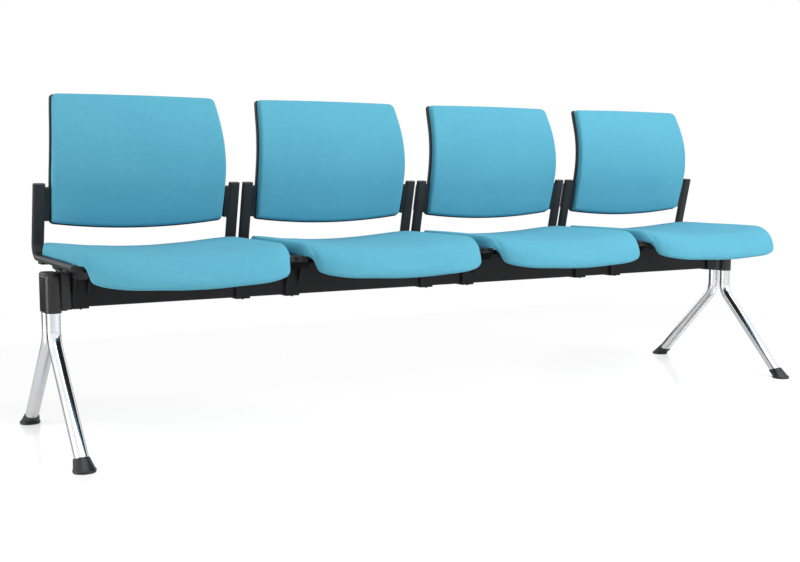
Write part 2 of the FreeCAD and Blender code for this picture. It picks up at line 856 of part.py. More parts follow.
for index, centre in enumerate(chair_centres):
    number = "_" + str(index + 1)
    chair_way = across * centre
    save("seat_cushion" + number, moved(cushion_shape, chair_way))
    save("seat_pan" + number, moved(pan_shape, chair_way))
    save("back_cushion" + number, moved(back_cushion_shape, chair_way))
    save("back_shell" + number, moved(back_shell_shape, chair_way))
    save("cross_bars" + number, *[moved(bar_shape, chair_way + deep * y) for y in bolt_rows])
    for side, word in ((-1, "left"), (1, "right")):
        frame_way = chair_way + across * (side * frame_offset)
        bracket_way = chair_way + across * (side * bracket_offset)
        save("side_frame_" + word + number, moved(frame_shape, frame_way))
        save("beam_bracket_" + word + number, moved(bracket_shape, bracket_way))
        upright_caps.append(moved(upright_cap, frame_way))
        rail_caps.append(moved(rail_cap, frame_way))
        back_screws += [moved(back_screw(place), frame_way) for place in back_screw_places()]
        seat_bolts += [moved(seat_bolt(), bracket_way + deep * y) for y in bolt_rows]
        clamp_bolts.append(moved(clamp_bolt(), bracket_way))
        straps.append(moved(bracket_strap(), bracket_way))

save("upright_caps", *upright_caps)
save("rail_caps", *rail_caps)
save("back_screws", *back_screws)
save("seat_bolts", *seat_bolts)
save("clamp_bolts", *clamp_bolts)
save("bracket_straps", *straps)

save("beam", beam())
save("spigot_screws", *[spigot_screw(place) for place in spigot_screw_places()])

front_leg = leg()
front_foot = foot()
front_pad = foot_pad()
sleeve = moved(hub_sleeve(), across * hub_x).fuse(beam_spigot()).removeSplitter()
collar = beam_collar()
foot_pads = []
for side, word in ((-1, "left"), (1, "right")):
    save("hub_sleeve_" + word, sleeve if side > 0 else mirrored(sleeve, across))
    hub_way = across * (side * hub_x)
    save("hub_cap_" + word, moved(hub_cap(), hub_way))
    save("beam_collar_" + word, collar if side > 0 else mirrored(collar, across))
    for way, place in ((1, "front"), (-1, "rear")):
        leg_shape, foot_shape, pad_shape = [
            moved(shape if way > 0 else mirrored(shape, deep), hub_way)
            for shape in (front_leg, front_foot, front_pad)]
        save("leg_" + place + "_" + word, leg_shape)
        save("foot_" + place + "_" + word, foot_shape)
        foot_pads.append(pad_shape)
save("foot_pads", *foot_pads)
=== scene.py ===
"""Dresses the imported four-seat beam seating: upholstery, feet, finishes, small fasteners and a plain studio.

Lengths in the cushion, screw and foot code are millimetres, as in the part's own sizes, and become metres
when a mesh is made.  Lengths in the material and studio code are metres.
"""

import json
import math

import bmesh
import bpy
import numpy as np
from mathutils import Matrix, Vector


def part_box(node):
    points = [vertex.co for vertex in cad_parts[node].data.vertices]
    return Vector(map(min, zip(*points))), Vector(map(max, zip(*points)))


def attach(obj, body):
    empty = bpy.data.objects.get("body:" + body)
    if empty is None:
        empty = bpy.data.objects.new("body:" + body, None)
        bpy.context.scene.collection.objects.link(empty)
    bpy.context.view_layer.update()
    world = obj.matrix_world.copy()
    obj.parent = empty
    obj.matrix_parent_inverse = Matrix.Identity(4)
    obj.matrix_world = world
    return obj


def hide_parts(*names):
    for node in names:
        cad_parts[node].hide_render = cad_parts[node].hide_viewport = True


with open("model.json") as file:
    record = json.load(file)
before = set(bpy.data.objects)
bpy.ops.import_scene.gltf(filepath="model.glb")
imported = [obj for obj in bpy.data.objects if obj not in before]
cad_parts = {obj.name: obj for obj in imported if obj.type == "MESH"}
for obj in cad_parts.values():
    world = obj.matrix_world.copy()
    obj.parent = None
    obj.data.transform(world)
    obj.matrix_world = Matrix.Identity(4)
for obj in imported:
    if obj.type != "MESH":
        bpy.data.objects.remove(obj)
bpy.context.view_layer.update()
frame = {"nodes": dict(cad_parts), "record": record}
scene = bpy.context.scene

MILLIMETRE = 0.001
CHAIRS = (1, 2, 3, 4)

# Seat cushion: the solid's sizes, with slightly squarer corners and a short tip below the lip
SEAT_HALF_WIDTH = 254.0
SEAT_TOP = 451.0
SEAT_DISH = 17.0
SEAT_FLOOR = 428.3
SEAT_FLOOR_DISH = 8.0
DISH_REFERENCE = 225.0
SEAT_FRONT = -300.0
SEAT_REAR = 200.0
FRONT_CORNER = 126.0
FRONT_POWER = 3.0
REAR_CORNER = 110.0
REAR_POWER = 3.4
EDGE_DROP = 12.0
EDGE_POWER = 8.0
NOSE_RADIUS = 70.0
UNDER_RADIUS = 30.0
LIP_TURN = math.radians(79.0)
LIP_THICKNESS = 20.0
LIP_THINNING = 16.0
LIP_POWER = 2.6
LIP_TAPER_WIDTH = 240.0
LIP_CORNER = 92.0
TIP_LENGTH = 3.0
TIP_GAIN = 5.0
TIP_GAIN_SPAN = (80.0, 190.0)
TIP_LOSS = 6.0
TIP_LOSS_SPAN = (212.0, 246.0)
RAIL_CLEAR_TOP = 439.3
RAIL_CLEAR_SIDE = 235.7
RAIL_CLEAR_EASE = 5.0
UNDER_BEND_SPAN = (0.0, 0.5)

# Back cushion: the solid's sizes, with its bottom corners a little squarer
BACK_BOTTOM = 515.0
BACK_TOP = 830.0
BACK_SAG = 15.0
BACK_CROWN = 2.0
BACK_WIDEST = 640.0
BACK_SHOULDER = 735.0
BACK_BOTTOM_HALF = 220.5
BACK_WIDEST_HALF = 223.7
BACK_SHOULDER_HALF = 218.5
BACK_TOP_HALF = 207.5
BACK_TOP_CORNER = 13.0
BACK_BOTTOM_CORNER = 6.0
BELLY_Y = 135.483
BELLY_Z = 675.0
BELLY_RADIUS = 250.0
LOWER_LEAN = math.radians(14.5)
UPPER_LEAN = math.radians(23.5)
BACK_PROUD = 18.0
BACK_SUNK = 10.7
BACK_STRETCH = 1.04

# How the covers are rounded at the rim, and how the cloth run fills them
SEAT_RIM_RADIUS = 10.0
SEAT_RIM_MIDDLE = 0.5
SEAT_RIM_SINK = 0.44
SEAT_RIM_SPAN = (0.8, 1.0)
SEAT_SLACK = 2.5
SEAT_PINNED = 14.0
SEAT_PRESSURE = 0.15
SEAT_REACH = 0.004
BACK_RIM_RADIUS = 8.0
BACK_SLACK = 2.0
BACK_PINNED = 12.0
BACK_PRESSURE = 4.0
BACK_REACH = 0.005
SLACK_REACH = 60.0
CLOTH_FRAMES = 20

# Screw places and heads.  The strap screws and clamp screws have no solid of their own.
HEAD_POINTS = 24
FRAME_OFFSET = 251.0
BRACKET_OFFSET = 202.0
UPRIGHT_LEAN = math.radians(13.0)
UPRIGHT_TOP_Y = 144.483
UPRIGHT_TOP_Z = 607.0
LUG_MIDDLE_DROP = 48.0
EAR_REAR = 11.5
BACK_SCREW_STEP = 25.0
BACK_SCREW_HEAD = 5.0
BACK_SCREW_HEIGHT = 3.0
STRAP_SCREW_Y = 23.5
STRAP_SCREW_HEAD = 3.2
STRAP_SCREW_HEIGHT = 2.0
CLAMP_HEAD_OFFSET = 221.0
CLAMP_HEAD_Y = -61.0
CLAMP_HEAD_Z = 401.0
CLAMP_HEAD = 5.5
CLAMP_HEAD_HEIGHT = 3.0

# Legs as the solids have them, and feet that are slightly slimmer and lower than the solids.
# FLANGE and MOUTH_LIP hold how far each ring is set in, and its height above the pad or the mouth.
FOOT_POINTS = 48
LEG_X = 1075.0
LEG_FOOT_Y = -267.0
LEG_RUN = 243.5
LEG_RISE = 250.0
LEG_RADIUS = 16.0
LEG_END_Z = 18.0
FOOT_RADIUS = 25.5
FOOT_PAD = 2.0
FLANGE = ((0.8, 0.0), (0.0, 0.8), (0.0, 3.0), (0.7, 3.7), (1.3, 4.0))
FLARE_STEPS = 9
FLARE_HOLLOW = 1.5
BORE_GAP = 0.3
BORE_END_GAP = 0.5
MOUTH_RADIUS = 18.5
MOUTH_LIP = ((0.3, 0.5), (0.9, 0.8))
MOUTH_Z = 24.0
MOUTH_TILT = math.radians(20.0)

# Finish details
YARN_PITCH = 0.0017
WORN_EDGE = 0.0012
# The hub's wide edge spreads the lighter edge colour into a painted highlight band on its rounded corner.
HUB_EDGE = 0.006
PLASTIC_EDGE = 0.001
SCREW_EDGE = 0.0005

# Studio
FLOOR_HALF = 30.0
FLOOR_GLOW = 0.56
FLOOR_MIRROR = 0.25
FLOOR_MIRROR_ROUGHNESS = 0.15
FLOOR_SEEN_IN_METAL = 0.05
FOOT_ZONE_Y = -0.2
FOOT_ZONE = (0.4, 0.85)
FOOT_ZONE_WHITE = 0.85
ROW_ZONE = (1.2, 2.6)
BOARD_LEFT = -4.0
BOARD_RIGHT = 6.0
BOARD_Y = 1.6
BOARD_HEIGHT = 0.28
EVEN_LIGHT = 0.5
CAMERA_PLACE = (-1.67127, -2.63900, 0.64994)
CAMERA_DOWN = 5.792
CAMERA_TURN = 30.172
CAMERA_LENS = 50.42
CAMERA_SENSOR = 36.0


def chair_x(chair):
    """X of the middle of a chair, in metres."""
    low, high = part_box("seat_pan_%d" % chair)
    return (low.x + high.x) / 2


# Node materials

def node(tree, kind, inputs=None, **settings):
    """A new shader node whose inputs are values or the outputs of other nodes."""
    made = tree.nodes.new("ShaderNode" + kind)
    for name, value in settings.items():
        setattr(made, name, value)
    for key, value in (inputs or {}).items():
        socket = made.inputs[key]
        if isinstance(value, bpy.types.NodeSocket):
            tree.links.new(value, socket)
        else:
            socket.default_value = value
    return made


def maths(tree, operation, first, second=0.0):
    return node(tree, "Math", {0: first, 1: second}, operation=operation).outputs[0]


def blend(tree, share, first, second):
    made = node(tree, "Mix", {0: share, 6: first, 7: second}, data_type="RGBA")
    return made.outputs[2]


def ranged(tree, value, low, high):
    """Spreads the middle of a 0 to 1 value over low to high."""
    inputs = {"Value": value, "From Min": 0.3, "From Max": 0.7, "To Min": low, "To Max": high}
    return node(tree, "MapRange", inputs).outputs[0]


def noise(tree, place, scale, detail=2.0, roughness=0.5):
    inputs = {"Vector": place, "Scale": scale, "Detail": detail, "Roughness": roughness}
    return node(tree, "TexNoise", inputs).outputs["Fac"]


def colour(red, green, blue):
    return (red, green, blue, 1.0)


def new_material(name, settings):
    """A material whose shader has settings that are the same all over it."""
    material = bpy.data.materials.new(name)
    material.use_nodes = True
    tree = material.node_tree
    shader = tree.nodes["Principled BSDF"]
    for key, value in settings.items():
        shader.inputs[key].default_value = value
    return material, tree, shader


def woven_fabric():
    """Fine plain weave in turquoise, with uneven yarn, a soft nap, and rims painted lighter: partly rubbed
    wear, partly a painted highlight along the lit rim.
    """
    settings = {"Specular IOR Level": 0.12, "Sheen Weight": 0.05, "Sheen Roughness": 0.4,
                "Sheen Tint": colour(0.65, 0.9, 1.0)}
    material, tree, shader = new_material("woven_fabric", settings)
    laid = node(tree, "Attribute", attribute_name="cloth").outputs["Vector"]
    place = node(tree, "TexCoord").outputs["Object"]
    along = node(tree, "SeparateXYZ", {0: laid})
    yarn = 2 * math.pi / YARN_PITCH
    warp = maths(tree, "SINE", maths(tree, "MULTIPLY", along.outputs[0], yarn))
    weft = maths(tree, "SINE", maths(tree, "MULTIPLY", along.outputs[1], yarn))
    cross = node(tree, "Math", {0: maths(tree, "MULTIPLY", warp, weft), 1: 0.5, 2: 0.5},
                 operation="MULTIPLY_ADD").outputs[0]

    stretch = node(tree, "Mapping", {"Vector": laid, "Scale": (1.0, 0.12, 1.0)}).outputs[0]
    slubs = noise(tree, stretch, 900.0, 2.0)
    fibre = noise(tree, place, 1500.0, 3.0)
    mottle = noise(tree, place, 90.0, 3.0)
    broad = noise(tree, place, 7.0, 2.0)

    dark, light = colour(0.094, 0.378, 0.515), colour(0.112, 0.412, 0.55)
    shade = blend(tree, ranged(tree, mottle, 0.0, 1.0), dark, light)
    shade = blend(tree, ranged(tree, slubs, 0.0, 0.35), shade, colour(0.16, 0.49, 0.62))
    shade = blend(tree, ranged(tree, broad, 0.0, 0.3), shade, colour(0.09, 0.36, 0.50))
    gaps = maths(tree, "MULTIPLY", cross, 0.30)
    shade = blend(tree, gaps, shade, colour(0.075, 0.31, 0.43))
    # Rims painted lighter: partly rubbed wear, partly a painted highlight where the rim catches the light.
    rim = node(tree, "NewGeometry").outputs["Pointiness"]
    rim_wear_and_highlight = node(tree, "MapRange", {"Value": rim, "From Min": 0.52, "From Max": 0.62,
                                     "To Min": 0.0, "To Max": 0.35}).outputs[0]
    shade = blend(tree, rim_wear_and_highlight, shade, colour(0.17, 0.52, 0.65))
    tree.links.new(shade, shader.inputs["Base Color"])
    tree.links.new(ranged(tree, mottle, 0.82, 0.94), shader.inputs["Roughness"])

    height = maths(tree, "ADD", cross, maths(tree, "MULTIPLY", fibre, 0.6))
    weave = node(tree, "Bump", {"Height": height, "Strength": 0.35, "Distance": 0.0003})
    hills = noise(tree, place, 28.0, 2.0)
    swell = node(tree, "Bump", {"Height": hills, "Strength": 0.25, "Distance": 0.0015,
                                "Normal": weave.outputs[0]})
    tree.links.new(swell.outputs[0], shader.inputs["Normal"])
    return material


def edge_share(tree, radius):
    """About 1 on a sharp outer edge and 0 away from it, and the normal of the eased edge."""
    eased = node(tree, "Bevel", {"Radius": radius}, samples=4).outputs[0]
    flat = node(tree, "NewGeometry").outputs["Normal"]
    same = node(tree, "VectorMath", {0: eased, 1: flat}, operation="DOT_PRODUCT").outputs["Value"]
    share = node(tree, "MapRange", {"Value": same, "From Min": 0.99, "From Max": 0.80}).outputs[0]
    return share, eased


# worn is the lighter edge colour: rubbed wear on thin edges, and a painted highlight band where the edge is as
# wide as the hub's.
def powder_coat(name, dark, light, roughness, gloss, worn, edge=WORN_EDGE):
    """Satin black powder coat: a slight orange peel, a cloudy tone and lighter edges, partly rubbed wear and
    partly a painted highlight.
    """
    material, tree, shader = new_material(name, {"Specular IOR Level": gloss})
    place = node(tree, "TexCoord").outputs["Object"]
    peel = noise(tree, place, 700.0, 2.0)
    cloud = noise(tree, place, 14.0, 4.0, 0.6)
    shade = blend(tree, ranged(tree, cloud, 0.0, 1.0), colour(*dark), colour(*light))
    share, eased = edge_share(tree, edge)
    # Edges tinted towards the lighter colour: rubbed wear, and on the hub's wide rounded edge a painted
    # highlight band.
    edge_wear_and_highlight = maths(tree, "MULTIPLY", share, ranged(tree, noise(tree, place, 120.0, 4.0, 0.7), 0.1, 0.8))
    shade = blend(tree, edge_wear_and_highlight, shade, colour(*worn))
    tree.links.new(shade, shader.inputs["Base Color"])
    rough = maths(tree, "ADD", ranged(tree, cloud, roughness - 0.05, roughness + 0.05),
                  maths(tree, "MULTIPLY", share, -0.08))
    tree.links.new(rough, shader.inputs["Roughness"])
    bump = node(tree, "Bump", {"Height": peel, "Strength": 0.12, "Distance": 0.0002, "Normal": eased})
    tree.links.new(bump.outputs[0], shader.inputs["Normal"])
    return material


def grained_plastic(name, dark, light, roughness, gloss):
    """Moulded black plastic with a fine leathery grain and slightly polished edges."""
    material, tree, shader = new_material(name, {"Specular IOR Level": gloss})
    place = node(tree, "TexCoord").outputs["Object"]
    cells = node(tree, "TexVoronoi", {"Vector": place, "Scale": 900.0}).outputs["Distance"]
    cloud = noise(tree, place, 22.0, 3.0)
    shade = blend(tree, ranged(tree, cloud, 0.0, 1.0), colour(*dark), colour(*light))
    share, eased = edge_share(tree, PLASTIC_EDGE)
    shade = blend(tree, maths(tree, "MULTIPLY", share, 0.5), shade, colour(*[3 * part for part in light]))
    tree.links.new(shade, shader.inputs["Base Color"])
    rough = maths(tree, "ADD", ranged(tree, cloud, roughness - 0.04, roughness + 0.05),
                  maths(tree, "MULTIPLY", share, -0.15))
    tree.links.new(rough, shader.inputs["Roughness"])
    bump = node(tree, "Bump", {"Height": cells, "Strength": 0.35, "Distance": 0.00025, "Normal": eased})
    tree.links.new(bump.outputs[0], shader.inputs["Normal"])
    return material


def chrome_plate():
    """Polished chrome with faint hand marks and the long ripple of a drawn tube."""
    material, tree, shader = new_material("chrome_plate", {"Metallic": 1.0})
    place = node(tree, "TexCoord").outputs["Object"]
    smear = noise(tree, place, 26.0, 4.0, 0.65)
    dull, bright = colour(0.83, 0.84, 0.87), colour(0.89, 0.90, 0.92)
    shade = blend(tree, ranged(tree, smear, 0.0, 1.0), dull, bright)
    tree.links.new(shade, shader.inputs["Base Color"])
    drawn = node(tree, "Mapping", {"Vector": place, "Scale": (1.0, 1.0, 0.05)}).outputs[0]
    hairs = noise(tree, drawn, 1800.0, 2.0)
    rough = maths(tree, "ADD", ranged(tree, smear, 0.10, 0.17), ranged(tree, hairs, 0.0, 0.03))
    tree.links.new(rough, shader.inputs["Roughness"])
    ripple = noise(tree, drawn, 60.0, 1.0)
    bump = node(tree, "Bump", {"Height": ripple, "Strength": 0.15, "Distance": 0.0004})
    tree.links.new(bump.outputs[0], shader.inputs["Normal"])
    return material


def dull_rubber():
    """Matt black rubber with dust on it."""
    material, tree, shader = new_material("dull_rubber", {"Specular IOR Level": 0.3})
    place = node(tree, "TexCoord").outputs["Object"]
    dust = noise(tree, place, 160.0, 4.0, 0.7)
    clean, dusty = colour(0.016, 0.016, 0.016), colour(0.034, 0.033, 0.032)
    shade = blend(tree, ranged(tree, dust, 0.0, 1.0), clean, dusty)
    tree.links.new(shade, shader.inputs["Base Color"])
    tree.links.new(ranged(tree, dust, 0.72, 0.9), shader.inputs["Roughness"])
    bump = node(tree, "Bump", {"Height": dust, "Strength": 0.3, "Distance": 0.0003})
    tree.links.new(bump.outputs[0], shader.inputs["Normal"])
    return material


def blackened_steel():
    """Oil-blackened screws: dark, slightly glossy, with bright worn corners."""
    material, tree, shader = new_material("blackened_steel", {"Metallic": 0.85})
    place = node(tree, "TexCoord").outputs["Object"]
    stain = noise(tree, place, 320.0, 3.0, 0.6)
    dark, light = colour(0.035, 0.035, 0.038), colour(0.07, 0.07, 0.075)
    shade = blend(tree, ranged(tree, stain, 0.0, 1.0), dark, light)
    share, eased = edge_share(tree, SCREW_EDGE)
    shade = blend(tree, maths(tree, "MULTIPLY", share, 0.5), shade, colour(0.3, 0.3, 0.31))
    tree.links.new(shade, shader.inputs["Base Color"])
    tree.links.new(ranged(tree, stain, 0.28, 0.42), shader.inputs["Roughness"])
    tree.links.new(eased, shader.inputs["Normal"])
    return material


fabric = woven_fabric()
steel = blackened_steel()
finishes = {
    "upholstery": fabric,
    "frame_black": powder_coat("frame_coat", (0.025, 0.026, 0.028), (0.034, 0.035, 0.038), 0.38, 0.16,
                               (0.07, 0.07, 0.075)),
    "beam_black": powder_coat("beam_coat", (0.011, 0.011, 0.012), (0.017, 0.017, 0.019), 0.42, 0.22,
                              (0.05, 0.05, 0.05)),
    "bracket_black": powder_coat("bracket_coat", (0.011, 0.011, 0.012), (0.017, 0.017, 0.019), 0.46, 0.22,
                                 (0.05, 0.05, 0.05)),
    # Hub coat: its wide edge makes the lighter edge colour a painted highlight band.
    "hub_black": powder_coat("hub_coat", (0.015, 0.015, 0.016), (0.021, 0.021, 0.022), 0.27, 0.5,
                             (0.05, 0.05, 0.05), HUB_EDGE),
    "shell_black": grained_plastic("shell_plastic", (0.012, 0.012, 0.013), (0.019, 0.019, 0.020), 0.48, 0.25),
    "pan_black": grained_plastic("pan_plastic", (0.009, 0.009, 0.010), (0.014, 0.014, 0.015), 0.56, 0.2),
    "cap_black": grained_plastic("cap_plastic", (0.012, 0.012, 0.013), (0.020, 0.020, 0.021), 0.38, 0.3),
    "foot_black": grained_plastic("foot_plastic", (0.014, 0.014, 0.015), (0.024, 0.024, 0.026), 0.30, 0.42),
    "leg_chrome": chrome_plate(),
    "pad_rubber": dull_rubber(),
    "fastener_steel": steel,
}

for row in frame["record"]["subparts"]:
    mesh = frame["nodes"][row["node"]].data
    mesh.materials.clear()
    mesh.materials.append(finishes[row["material_slot"]])


# Cushions

def eased_steps(count, share):
    """0 to 1 in steps that crowd together at both ends."""
    even = np.linspace(0.0, 1.0, count + 1)
    return (1 - share) * even + share * (1 - np.cos(np.pi * even)) / 2


def falling_edge(share, depth, power):
    """How far an edge has fallen back at a share of its half width, down to depth at its end."""
    inside = np.maximum(0.0, 1.0 - np.abs(share) ** power)
    return depth * (1.0 - inside ** (1.0 / power))


def smooth_step(value, start, end):
    """0 before start, 1 after end and a smooth rise between them."""
    share = np.clip((value - start) / (end - start), 0, 1)
    return share * share * (3 - 2 * share)


def rim_distance(flat):
    """Distance of every point of a flat grid to the grid's border."""
    border = np.concatenate([flat[0, :], flat[1:, -1], flat[-1, -2::-1], flat[-2:0:-1, 0]])
    start = border[None, :, :]
    run = np.roll(border, -1, axis=0)[None, :, :] - start
    points = flat.reshape(-1, 1, 2)
    length = np.maximum((run ** 2).sum(2), 1e-9)
    share = np.clip(((points - start) * run).sum(2) / length, 0, 1)
    nearest = start + share[:, :, None] * run
    distance = np.sqrt(((points - nearest) ** 2).sum(2)).min(1).reshape(flat.shape[:2])
    distance[0, :] = distance[-1, :] = distance[:, 0] = distance[:, -1] = 0.0
    return distance


def rounding(distance, radius):
    """Share of the full thickness at a distance from the rim, on a quarter round."""
    inside = np.clip(distance / np.maximum(radius, 0.5), 0, 1)
    return np.sqrt(1 - (1 - inside) ** 2)


def seat_grids():
    """Upper face, lower face, laid-out position and height of the rim, at each grid point of a seat."""
    side_steps = 2 * eased_steps(56, 0.85) - 1
    dx = SEAT_HALF_WIDTH * side_steps[:, None]
    run = eased_steps(72, 0.55)[None, :]
    share = dx / SEAT_HALF_WIDTH
    dish = (dx / DISH_REFERENCE) ** 2
    top = SEAT_TOP + SEAT_DISH * dish
    near_rail = np.clip((np.abs(dx) - RAIL_CLEAR_SIDE + RAIL_CLEAR_EASE) / RAIL_CLEAR_EASE, 0, 1)
    floor = SEAT_FLOOR + SEAT_FLOOR_DISH * dish
    floor = floor + (np.maximum(floor, RAIL_CLEAR_TOP) - floor) * near_rail
    front = SEAT_FRONT + falling_edge(share, FRONT_CORNER, FRONT_POWER)
    rear = SEAT_REAR - falling_edge(share, REAR_CORNER, REAR_POWER)
    radius = NOSE_RADIUS - falling_edge(share, EDGE_DROP, EDGE_POWER)
    to_side = np.minimum(1.0, np.abs(dx) / LIP_TAPER_WIDTH)
    lip = LIP_THICKNESS - falling_edge(to_side, LIP_THINNING, LIP_POWER)
    nose_y = front + NOSE_RADIUS
    nose_z = top - NOSE_RADIUS

    gain = TIP_GAIN * smooth_step(np.abs(dx), *TIP_GAIN_SPAN)
    loss = TIP_LOSS * smooth_step(np.abs(dx), *TIP_LOSS_SPAN)
    tip = lip / 2 + TIP_LENGTH + gain - loss
    beside = np.clip((np.abs(dx) - RAIL_CLEAR_SIDE + LIP_CORNER) / LIP_CORNER, 0, 1)
    lowest = RAIL_CLEAR_TOP - LIP_CORNER * (1 - beside ** 3) ** (1 / 3)
    swing = np.arccos(np.clip((lowest - nose_z) / np.hypot(radius, tip), -1, 1))
    turn = np.minimum(LIP_TURN, swing - np.arctan2(tip, radius))

    straight = rear - nose_y
    along = run * (straight + radius * turn + tip)
    angle = np.clip((along - straight) / radius, 0, turn)
    past = np.clip(along - straight - radius * turn, 0, None)
    ahead = past * np.cos(turn)
    down = past * np.sin(turn)
    outer_y = np.where(along < straight, rear - along, nose_y - radius * np.sin(angle)) - ahead
    outer_z = nose_z + radius * np.cos(angle) - down

    end_y = nose_y - (radius - lip) * np.sin(turn)
    end_z = nose_z + (radius - lip) * np.cos(turn)
    centre_z = floor - UNDER_RADIUS
    centre_y = end_y + np.sqrt(np.maximum(UNDER_RADIUS ** 2 - (end_z - centre_z) ** 2, 0))
    bend = np.arctan2(centre_y - end_y, end_z - centre_z)
    bent = smooth_step(bend, *UNDER_BEND_SPAN)
    reached = straight + (1 - bent) * radius * turn
    part = np.clip(along / reached, 0, 1)
    curl = np.clip((along - reached) / np.maximum(radius * turn * bent, 1e-6), 0, 1) * bend
    inner_y = rear + (centre_y - rear) * part - UNDER_RADIUS * np.sin(curl)
    inner_y = inner_y - ahead
    inner_z = centre_z + UNDER_RADIUS * np.cos(curl) - down

    across = dx + 0 * run
    outer = np.stack([across, outer_y, outer_z], axis=2)
    inner = np.stack([across, inner_y, inner_z], axis=2)
    flat = np.stack([across, along - rear], axis=2)
    rim = SEAT_RIM_MIDDLE - SEAT_RIM_SINK * smooth_step(np.abs(share), *SEAT_RIM_SPAN) + 0 * run
    return outer, inner, flat, rim


def side_circle(low, middle, high):
    """Centre and radius of the circle through three points of the back's side."""
    ax, az = middle[0] - low[0], middle[1] - low[1]
    bx, bz = high[0] - low[0], high[1] - low[1]
    double = 2 * (ax * bz - az * bx)
    a_square, b_square = ax * ax + az * az, bx * bx + bz * bz
    cx = (bz * a_square - az * b_square) / double
    cz = (ax * b_square - bx * a_square) / double
    return low[0] + cx, low[1] + cz, math.hypot(cx, cz)


def back_half_width(height):
    """Half the back's width at a height, with its corners rounded."""
    fall = BACK_WIDEST_HALF - BACK_BOTTOM_HALF
    low_radius = (fall ** 2 + (BACK_WIDEST - BACK_BOTTOM) ** 2) / (2 * fall)
    below = BACK_WIDEST_HALF - low_radius + np.sqrt(low_radius ** 2 - (height - BACK_WIDEST) ** 2)
    x, z, radius = side_circle((BACK_WIDEST_HALF, BACK_WIDEST), (BACK_SHOULDER_HALF, BACK_SHOULDER),
                               (BACK_TOP_HALF, BACK_TOP))
    above = x + np.sqrt(radius ** 2 - (height - z) ** 2)
    width = np.where(height < BACK_WIDEST, below, above)
    for corner, reach in ((BACK_TOP_CORNER, BACK_TOP - height), (BACK_BOTTOM_CORNER, height - BACK_BOTTOM)):
        into = np.clip(corner - reach, 0, corner)
        width = width - corner + np.sqrt(corner ** 2 - into ** 2)
    return width


def back_grids():
    """Position of the back cushion's grid points in front view."""
    up_steps = eased_steps(48, 0.85)[None, :]
    side_steps = 2 * eased_steps(60, 0.8)[:, None] - 1
    height = BACK_BOTTOM + (BACK_TOP - BACK_BOTTOM) * up_steps
    x = side_steps * back_half_width(height)
    low_radius = (BACK_BOTTOM_HALF ** 2 + BACK_SAG ** 2) / (2 * BACK_SAG)
    low = BACK_BOTTOM - BACK_SAG + low_radius - np.sqrt(low_radius ** 2 - x ** 2)
    high = BACK_TOP + BACK_CROWN * (1 - (x / BACK_TOP_HALF) ** 2)
    z = low + (high - low) * up_steps
    return x, z


def pillow(name, upper, lower, flat, groups):
    """Closed mesh of two facing grids that share their border, with the laid-out position of each point."""
    rows, columns = upper.shape[:2]
    index = np.arange(rows * columns).reshape(rows, columns)
    under = index + rows * columns
    under[0, :], under[-1, :] = index[0, :], index[-1, :]
    under[:, 0], under[:, -1] = index[:, 0], index[:, -1]
    used = np.unique(under)
    spare = used[used >= rows * columns]
    renumber = {old: rows * columns + new for new, old in enumerate(spare)}
    points = np.concatenate([upper.reshape(-1, 3), lower.reshape(-1, 3)[spare - rows * columns]])
    laid = np.concatenate([flat.reshape(-1, 2), flat.reshape(-1, 2)[spare - rows * columns]])
    faces = []
    for i in range(rows - 1):
        for j in range(columns - 1):
            quad = [(i, j), (i + 1, j), (i + 1, j + 1), (i, j + 1)]
            faces.append([int(index[at]) for at in quad])
            faces.append([renumber.get(int(under[at]), int(under[at])) for at in reversed(quad)])
    mesh = bpy.data.meshes.new(name)
    mesh.from_pydata((points * MILLIMETRE).tolist(), [], faces)
    cloth = mesh.attributes.new("cloth", "FLOAT_VECTOR", "POINT")
    cloth.data.foreach_set("vector", np.column_stack([laid, 0 * laid[:, 0]]).ravel() * MILLIMETRE)
    work = bmesh.new()
    work.from_mesh(mesh)
    bmesh.ops.recalc_face_normals(work, faces=work.faces)
    work.to_mesh(mesh)
    work.free()
    piece = bpy.data.objects.new(name, mesh)
    scene.collection.objects.link(piece)
    pinned = piece.vertex_groups.new(name="pinned")
    weights = np.concatenate([groups.ravel(), np.ones(len(spare))])
    for vertex, weight in enumerate(weights):
        pinned.add([vertex], float(weight), "REPLACE")
    return piece


def coordinates(mesh):
    """The mesh's points as an array."""
    points = np.empty(len(mesh.vertices) * 3, np.float32)
    mesh.vertices.foreach_get("co", points)
    return points.reshape(-1, 3).astype(float)


def inflate(piece, pressure, reach):
    """Swells the cover over its foam with a cloth run, and holds every point within reach of its start."""
    start = coordinates(piece.data)
    cloth = piece.modifiers.new("swell", "CLOTH")
    settings = cloth.settings
    settings.quality = 6
    settings.mass = 0.15
    settings.tension_stiffness = 8.0
    settings.compression_stiffness = 8.0
    settings.shear_stiffness = 5.0
    settings.bending_stiffness = 0.5
    settings.effector_weights.gravity = 0.0
    settings.use_pressure = True
    settings.uniform_pressure_force = pressure
    settings.vertex_group_mass = "pinned"
    settings.pin_stiffness = 1.0
    cloth.collision_settings.use_collision = False
    cloth.point_cache.frame_start = 1
    cloth.point_cache.frame_end = CLOTH_FRAMES
    for step in range(1, CLOTH_FRAMES + 1):
        scene.frame_set(step)
    swollen = coordinates(piece.evaluated_get(bpy.context.evaluated_depsgraph_get()).data)
    piece.modifiers.remove(cloth)
    scene.frame_set(1)
    way = swollen - start
    length = np.linalg.norm(way, axis=1, keepdims=True)
    held = reach * np.tanh(length / reach)
    print("cloth", piece.name, "moved", round(float(length.max()) * 1000, 2), "mm at most")
    points = start + way * held / np.maximum(length, 1e-9)
    piece.data.vertices.foreach_set("co", points.astype(np.float32).ravel())
    piece.data.update()


